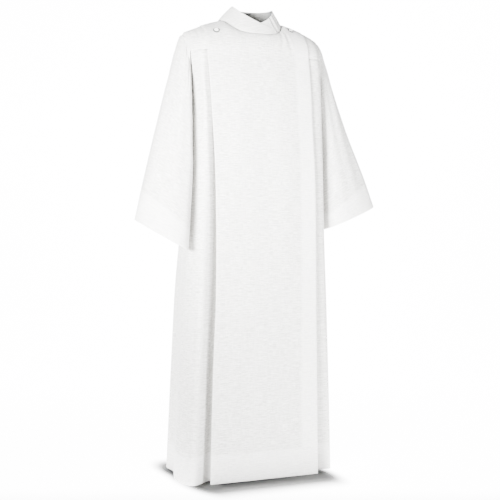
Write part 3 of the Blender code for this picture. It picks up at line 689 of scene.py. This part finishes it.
# FRONT YOKES
# Each side front hangs from a yoke, a shaped piece from the yoke seam up over the shoulder.
# The yokes run on under the front panel, and the seam below each is topstitched.
SHOULDER_GAP = 0.0008      # a yoke's and the back's top edge are drawn back by this much at the shoulder seam
YOKE_COLUMNS = 5 * FINER + 1
upper = panel[len(rises) - 1:]
yoke_edges = {}
for name, table, side, under_columns in (("right_front_yoke", right_table, -1, np.s_[:2 * FINER + 1]),
                                         ("left_front_yoke", left_table, 1, np.s_[5 * FINER:])):
    crest, fold, seam = (found[0] for found in side_points(table, [YOKE_HEIGHT]))
    panel_edge = 0 if side < 0 else -1
    lower = along([upper[0, panel_edge], crest, fold, seam], YOKE_COLUMNS)[1:]
    shoulder = resampled(shoulder_points(upper[-1, panel_edge, 0], side * SHOULDER_TIP), YOKE_COLUMNS)[1:]
    outer = np.concatenate([lower[None], turned_over(lower, shoulder, TOP_ROWS)])
    behind = CAD_WALL + LAYER_GAP
    rise_out = behind * np.linspace(1, 0, YOKE_COLUMNS)[1:]
    under = panel_face[len(rises) - 1:, under_columns]
    if side < 0:
        grid = np.concatenate([outer[:, ::-1], under], axis=1)
        depth = np.concatenate([rise_out[::-1], np.full(under.shape[1], behind)])
        sewn_edge = "first"
    else:
        grid = np.concatenate([under, outer], axis=1)
        depth = np.concatenate([np.full(under.shape[1], behind), rise_out])
        sewn_edge = "last"
    grid = moved_out(grid, -np.broadcast_to(depth, grid.shape[:2]))
    yoke_edges[side] = grid[:, 0 if side < 0 else -1]
    worked = pulled_back(pulled_back(grid, ["bottom", sewn_edge]), ["top"], SHOULDER_GAP)
    across, up = up_the_cloth(worked)
    if side < 0:
        worked = creased(worked, across, up, [
            (-0.034, 0.004, -0.028, 0.085, 0.002, 0.0036, 0.0012),
            (-0.021, 0.002, -0.019, 0.060, -0.001, 0.0034, 0.0010),
            (-0.010, 0.012, -0.008, 0.090, -0.002, 0.0036, 0.0010),
        ])
    worked = moved_out(worked, uneven(across * 9, up * 6, 0.0006, 71 + side) * (1 - depth / behind))
    worked = seam_rolled(worked, ["bottom", sewn_edge, "top"])
    yoke = cloth_mesh(name + "_cloth", worked, linen)
    sewing = stitching(name + "_stitching", worked, 1)
    worn_by_root(yoke, [name])


# BACK
# The whole back in one piece, with soft folds that fall from the shoulder blades and deepen to the hem.
# It is sewn to the fronts at the sides and to the yokes and the panel on the shoulders.
BACK_COLUMNS = 121
back_table = [
    # half of a section, from the side seam to the middle: b, l, k, f, g and h are in turn ridges and hollows
    # rise, b_x, b_y, l_x, l_y, k_x, k_y, f_x, f_y, g_x, g_y, h_x, h_y, c_y
    (0.00, -0.219, 0.108, -0.212, 0.192, -0.178, 0.222, -0.135, 0.196, -0.088, 0.226, -0.042, 0.200, 0.222),
    (0.35, -0.214, 0.090, -0.206, 0.162, -0.175, 0.188, -0.135, 0.174, -0.088, 0.194, -0.042, 0.178, 0.190),
    (0.60, -0.211, 0.078, -0.202, 0.138, -0.170, 0.162, -0.133, 0.156, -0.088, 0.168, -0.042, 0.160, 0.166),
    (0.80, -0.207, 0.065, -0.193, 0.112, -0.165, 0.138, -0.130, 0.140, -0.088, 0.148, -0.042, 0.145, 0.148),
    (0.95, -0.204, 0.055, -0.188, 0.098, -0.160, 0.124, -0.127, 0.131, -0.087, 0.137, -0.042, 0.137, 0.138),
    (1.10, -0.203, 0.050, -0.187, 0.090, -0.158, 0.115, -0.125, 0.125, -0.086, 0.130, -0.042, 0.132, 0.133),
    (1.17, -0.202, 0.066, -0.187, 0.092, -0.158, 0.114, -0.125, 0.123, -0.086, 0.128, -0.042, 0.130, 0.131),
    (1.24, -0.206, 0.070, -0.190, 0.092, -0.160, 0.110, -0.126, 0.118, -0.086, 0.122, -0.042, 0.124, 0.125),
    (1.315, -0.216, 0.066, -0.198, 0.083, -0.166, 0.098, -0.128, 0.106, -0.086, 0.110, -0.042, 0.112, 0.113),
]
back_armhole = [(1.100, -0.2100, -0.010), (1.130, -0.2090, 0.027), (1.170, -0.2090, 0.044),
                (1.240, -0.2125, 0.052), (1.315, -0.2255, 0.050)]
above = rises > UNDERARM_HEIGHT
seams = []
for table in (right_table, left_table):
    seam = side_points(table, rises)[2]
    seam[above, 1] = spline(back_armhole, rises[above])[:, 1]
    seams.append(seam)
values = spline(back_table, rises)
rows = []
for r, rise in enumerate(rises):
    right_half = [(values[r, 2 * k], values[r, 2 * k + 1], rise) for k in range(6)]
    wider = 0.013 * np.array([1, 0.9, 0.7, 0.3, 0, 0])
    left_half = [(-x + more, y, z) for (x, y, z), more in zip(right_half, wider)]
    rows.append(along([seams[1][r], *left_half, (0, values[r, 12], rise), *right_half[::-1], seams[0][r]],
                      BACK_COLUMNS))
back_low = np.array(rows)
edge = resampled(top_edge(-SHOULDER_TIP, SHOULDER_TIP, -1), BACK_COLUMNS)[::-1]
back_grid = np.concatenate([back_low, turned_over(back_low[-1], edge, TOP_ROWS, 72)])
across, up = up_the_cloth(back_grid)
worked = pulled_back(pulled_back(back_grid, ["first", "last"]), ["top"], SHOULDER_GAP)
worked = creased(worked, across, up, [
    (-0.160, 0.00, -0.120, 0.85, 0.012, 0.0160, 0.0022),
    (0.165, 0.02, 0.125, 0.80, -0.010, 0.0160, 0.0022),
    (-0.065, 0.00, -0.050, 0.50, 0.008, 0.0140, 0.0016),
    (0.070, 0.00, 0.045, 0.60, -0.010, 0.0150, 0.0018),
    (-0.020, 0.60, -0.010, 1.20, 0.008, 0.0200, 0.0014),
    (-0.130, 1.05, -0.060, 1.36, 0.014, 0.0160, 0.0020),
    (0.130, 1.03, 0.065, 1.37, -0.014, 0.0160, 0.0020),
    (-0.165, 1.12, -0.120, 1.33, 0.008, 0.0100, 0.0014),
    (0.165, 1.12, 0.120, 1.33, -0.008, 0.0100, 0.0014),
    (-0.060, 1.425, 0.055, 1.430, -0.006, 0.0080, 0.0010),
])
worked = moved_out(worked, uneven(across, up, 0.0011, 47) * np.clip(up / 0.05, 0.3, 1))
worked = hem_stitched(seam_rolled(worked, ["first", "last", "top"]))
back_cloth = cloth_mesh("back_cloth", worked, linen, doubled=hem_and_facing(up))
sewing = stitching("back_stitching", worked, hem_row)
worn_by_root(back_cloth, ["back"])


# SLEEVES
# Bell sleeves, each cut in one piece and closed by the underarm seam, with a turned hem 0.1 m deep.
# The sleeve heads are eased into the armholes, which leaves small puckers below the seam.
CUFF_HEM = 0.100
STATION = 0.094            # from one row of a sleeve's table to the next, down the sleeve
HEAD_END = 0.740           # from the cuff's edge up to where the puckers of the sleeve head end
SLEEVE_COLUMNS = 120
sleeve_tables = {-1: [
    # outer_x, outer_rise, inner_x, inner_rise, middle_y, half_depth, front_drop
    (-0.2265, 1.381, -0.2110, 1.100, 0.004, 0.046, 0.000),
    (-0.2390, 1.361, -0.2160, 1.072, 0.000, 0.062, 0.002),
    (-0.2540, 1.316, -0.2175, 1.034, -0.003, 0.072, 0.004),
    (-0.2740, 1.243, -0.2190, 0.990, -0.006, 0.080, 0.006),
    (-0.2970, 1.165, -0.2205, 0.938, -0.010, 0.086, 0.008),
    (-0.3240, 1.065, -0.2240, 0.880, -0.015, 0.090, 0.011),
    (-0.3490, 0.970, -0.2285, 0.824, -0.020, 0.093, 0.014),
    (-0.3730, 0.880, -0.2330, 0.768, -0.025, 0.094, 0.017),
    (-0.3930, 0.796, -0.2375, 0.714, -0.030, 0.094, 0.019),
], 1: [
    (0.2265, 1.392, 0.2245, 1.100, 0.004, 0.046, 0.000),
    (0.2430, 1.375, 0.2300, 1.072, 0.000, 0.056, 0.000),
    (0.2600, 1.328, 0.2320, 1.036, -0.002, 0.060, 0.000),
    (0.2850, 1.255, 0.2340, 0.996, -0.005, 0.063, -0.001),
    (0.3120, 1.175, 0.2360, 0.954, -0.008, 0.066, -0.002),
    (0.3430, 1.090, 0.2380, 0.908, -0.011, 0.068, -0.003),
    (0.3770, 1.010, 0.2400, 0.862, -0.014, 0.070, -0.004),
    (0.4120, 0.930, 0.2425, 0.816, -0.017, 0.071, -0.005),
    (0.4430, 0.852, 0.2450, 0.772, -0.020, 0.072, -0.006),
]}
# The creases of both sleeves, with what lies ahead of the outer line above zero
sleeve_creases = [
    # from across, up, to across, up, bow, width, depth
    (0.060, 0.02, 0.030, 0.52, 0.010, 0.0150, 0.0022),
    (0.110, 0.03, 0.085, 0.60, -0.008, 0.0140, 0.0022),
    (-0.070, 0.02, -0.040, 0.50, -0.008, 0.0160, 0.0026),
    (-0.130, 0.02, -0.095, 0.45, 0.008, 0.0140, 0.0022),
    (0.000, 0.05, 0.004, 0.45, 0.008, 0.0140, 0.0016),
    (0.045, 0.60, 0.035, 0.74, 0.002, 0.0050, 0.0026),
    (0.070, 0.58, 0.060, 0.73, -0.002, 0.0050, 0.0024),
    (0.095, 0.55, 0.088, 0.72, 0.002, 0.0050, 0.0024),
    (-0.050, 0.60, -0.040, 0.74, 0.002, 0.0060, 0.0024),
    (-0.085, 0.56, -0.075, 0.72, -0.002, 0.0060, 0.0024),
]
hole = rises >= UNDERARM_HEIGHT
for side, name, front_column in ((-1, "right_sleeve", right_side[:, 0]), (1, "left_sleeve", left_side[:, -1])):
    front_edge = np.concatenate([front_column[hole], yoke_edges[side][1:]])
    back_column = back_grid[:, -1 if side < 0 else 0]
    back_edge = np.concatenate([back_column[:len(rises)][hole], back_column[len(rises):]])
    half = SLEEVE_COLUMNS // 2 + 1
    armhole = np.concatenate([resampled(front_edge[::-1], half), resampled(back_edge[::-1], half)[-2:0:-1]])
    armhole[:, 0] += side * 2 * SEAM
    table = sleeve_tables[side]
    stations = np.column_stack([np.arange(len(table)), table])
    end = len(table) - 1
    places = extra_lines(np.linspace(0, end, 86)[1:], [end - CUFF_HEM / STATION], 0.025)
    angle = np.linspace(0, 2 * math.pi, SLEEVE_COLUMNS, endpoint=False)
    rings = [armhole]
    for place, values in zip(places, spline(stations, places)):
        outer_x, outer_z, inner_x, inner_z, middle_y, half_depth, drop = values
        part = (1 + np.cos(angle)) / 2 - 0.16 * min(1, place / 4) * np.sin(angle) ** 2
        made = np.column_stack([inner_x + (outer_x - inner_x) * part, middle_y - half_depth * np.sin(angle),
                                inner_z + (outer_z - inner_z) * part - drop * np.sin(angle)])
        first = min(1, place / 0.6)
        rings.append(made * first + (1 - first) * (armhole + (made - armhole).mean(axis=0)))
    grid = np.array(rings)[::-1]
    grid = grid if side < 0 else grid[:, ::-1]
    grid = np.roll(grid, SLEEVE_COLUMNS // 2, axis=1)
    from_end = (end - np.concatenate([[0], places])[::-1])[:, None] * STATION
    up = np.broadcast_to(from_end, grid.shape[:2])
    round_it = np.broadcast_to(np.arange(SLEEVE_COLUMNS) / SLEEVE_COLUMNS, grid.shape[:2])
    # The middle of the spread is the sleeve's outer line, and nothing is moved at its underarm seam
    spread = 0.46 * (round_it - 0.5)
    outside = np.sin(math.pi * round_it)
    worked = creased(grid, spread, up, [(-side * from_a, from_u, -side * to_a, *rest)
                                        for from_a, from_u, to_a, *rest in sleeve_creases], ring=True)
    worked = moved_out(worked, uneven(spread, up, 0.0010, 60 + side) * outside, ring=True)
    puckered = np.clip((up - 0.47) / 0.08, 0, 1) * np.clip((HEAD_END - up) / 0.02, 0, 1)
    worked = moved_out(worked, uneven(spread * 8, up * 5, 0.0008, 80 + side) * puckered * outside, ring=True)
    cuff_row = int(np.argmin(abs(from_end[:, 0] - CUFF_HEM)))
    dip = np.zeros(grid.shape[:2])
    dip[[cuff_row, -1]] = -STITCH_DIP
    worked = moved_out(worked, dip, ring=True)
    sleeve = cloth_mesh(name + "_cloth", worked, linen, ring=True, doubled=hem_and_facing(from_end, CUFF_HEM))
    sewing = stitching(name + "_stitching", worked, cuff_row, ring=True)
    worn_by_root(sleeve, [name])


# COLLAR
# One stand-up band of two layers, sewn to the neckline all round.
# The right end crosses over the left one in front, and the edges slope to a V.
NECK_ROUND = 0.42          # length of the neckline
NECK_MIDDLE = np.array((0.004, -0.003))
BAND_TOP = 1.476
TOP_REACH = (0.070, 0.050) # from the neck's middle to the band's top edge, sideways and ahead
turns = np.linspace(1.100, -0.100, 193)
tall = np.interp(turns, *np.array([
    (-0.100, 0.10), (-0.050, 0.25), (0.000, 0.37), (0.050, 0.52), (0.100, 0.66), (0.150, 0.79), (0.200, 0.91),
    (0.240, 1.00), (0.760, 1.00), (0.810, 0.93), (0.860, 0.80), (0.900, 0.67), (0.930, 0.57), (0.960, 0.47),
    (1.000, 0.35), (1.050, 0.22), (1.100, 0.10)]).T)
for _ in range(3):
    tall[1:-1] = tall[1:-1] / 2 + (tall[:-2] + tall[2:]) / 4
base = neck_points(turns)
way = base[:, :2] - NECK_MIDDLE
way /= np.linalg.norm(way, axis=1, keepdims=True)
top = np.column_stack([NECK_MIDDLE + way * TOP_REACH, np.full(len(turns), BAND_TOP)])
# The left end lies inside the right one, and the whole band stands on the cloth
tuck = 0.0023 * np.clip((turns - 0.68) / 0.12, 0, 1)
for line in (base, top):
    line[:, :2] -= way * tuck[:, None]
base[:, 2] += 0.0020
rise = np.linspace(0, 1, 19)[:, None]
grid = base + (rise * tall)[..., None] * (top - base)
bow = 0.0011 * np.sin(math.pi * rise) * tall * np.clip((0.80 - turns) / 0.05, 0.15, 1)
worked = moved_out(grid, bow)
around = np.broadcast_to(turns * NECK_ROUND, grid.shape[:2])
worked = creased(worked, around, rise * tall * 0.050, [
    (0.925 * NECK_ROUND, 0.038, 0.872 * NECK_ROUND, -0.004, 0.001, 0.0034, 0.0028),
    (0.885 * NECK_ROUND, 0.045, 0.850 * NECK_ROUND, 0.010, 0.000, 0.0034, 0.0016),
])
worked = seam_rolled(worked, ["bottom"], 0.0003)
collar = cloth_mesh("collar_cloth", worked, linen, thick=0.0013, turned=True)
# Painted shade: its inner layer is darkened where the neck's shade falls, most at the end where the wearer's left
# side closes
painted_shade_share = np.zeros(len(collar.data.vertices))
painted_shade_share[grid[..., 0].size:2 * grid[..., 0].size] = np.broadcast_to(
    np.interp(turns, (0.45, 0.58, 0.66, 0.74), (0.0, 0.25, 0.65, 1.0)), grid.shape[:2]).ravel()
collar.data.attributes.new("painted_collar_shade", "FLOAT", "POINT").data.foreach_set("value", painted_shade_share)
sewing = stitching("collar_stitching", worked, -2)
worn_by_root(collar, ["collar"])


# SNAPS
# Two round caps of white moulded plastic, whose rim is painted near black as a painted shadow of the groove round
# each cap, clenched through the panel's corners near the neck.
# They stand off the thick corners and lean forward a little.
CAP_POINTS = 48
RIM_START = 0.0070
plastic, tree, shader = new_material("snap_plastic", {"Roughness": 0.32, "IOR": 1.49})
mottle = add(tree, "ShaderNodeTexCoord")
mottle = add(tree, "ShaderNodeTexNoise", {"Vector": mottle.outputs["Object"], "Scale": 400.0, "Detail": 2.0})
plastic_tone = two_tones(tree, mottle.outputs["Fac"], "#e6e6e2", "#f2f2ef")
# The rim is painted near black: a painted shadow in the groove round the cap
painted_rim_shadow = add(tree, "ShaderNodeAttribute", attribute_name="ring")
plastic_tone = add(tree, "ShaderNodeMix", {"Factor": painted_rim_shadow.outputs["Fac"], "A": plastic_tone,
                                           "B": linear("#161a19")}, data_type="RGBA")
tree.links.new(plastic_tone.outputs[2], shader.inputs["Base Color"])
grain = add(tree, "ShaderNodeBump", {"Height": mottle.outputs["Fac"], "Distance": 0.00003, "Strength": 0.3})
tree.links.new(grain.outputs["Normal"], shader.inputs["Normal"])

cap_profile = [
    # radius, height
    (0.0088, -0.0024), (0.0098, -0.0006), (0.0100, 0.0000), (0.0099, 0.0006), (0.0095, 0.0010), (0.0088, 0.0011),
    (0.0080, 0.0011), (0.0074, 0.0011), (0.0072, 0.0014), (0.0071, 0.0021), (0.0068, 0.0025), (0.0062, 0.0027),
    (0.0054, 0.0027), (0.0044, 0.0025), (0.0030, 0.0023), (0.0014, 0.0022),
]
for name, place, lean in (("right_snap", (0.085, 0.48), 0.15), ("left_snap", (0.880, 0.62), 0.38)):
    c = place[0] * (upper.shape[1] - 1)
    r = place[1] * (upper.shape[0] - 1)
    i, j = int(r), int(c)
    across = upper[i, j + 1] - upper[i, j]
    up = upper[i + 1, j] - upper[i, j]
    centre = upper[i, j] + (c - j) * across + (r - i) * up
    out = np.cross(across, up)
    out /= np.linalg.norm(out)
    out = out + (0, -lean, 0)
    out /= np.linalg.norm(out)
    across -= out * np.dot(across, out)
    across /= np.linalg.norm(across)
    up = np.cross(out, across)
    centre = centre + out * (0.0009 + 0.003 * lean) - (0, 0, NECK_HEIGHT)
    round_it = np.linspace(0, 2 * math.pi, CAP_POINTS, endpoint=False)
    points = [centre + radius * (math.cos(a) * across + math.sin(a) * up) + height * out
              for radius, height in cap_profile for a in round_it]
    points.append(centre + 0.0022 * out)
    following = [(a + 1) % CAP_POINTS for a in range(CAP_POINTS)]
    faces = [(k + a, k + b, k + CAP_POINTS + b, k + CAP_POINTS + a)
             for k in range(0, (len(cap_profile) - 1) * CAP_POINTS, CAP_POINTS) for a, b in enumerate(following)]
    last = (len(cap_profile) - 1) * CAP_POINTS
    faces += [(last + a, last + b, len(points) - 1) for a, b in enumerate(following)]
    faces.append(tuple(range(CAP_POINTS - 1, -1, -1)))
    cap = mesh_object(name + "_cap", [tuple(map(float, p)) for p in points], faces, plastic)
    # Share of the painted rim shadow at each point of the cap
    rim_painted_shadow = [float(radius > RIM_START) for radius, _ in cap_profile for _ in range(CAP_POINTS)] + [0.0]
    cap.data.attributes.new("ring", "FLOAT", "POINT").data.foreach_set("value", rim_painted_shadow)
    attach(cap, "root")
    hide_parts(name)
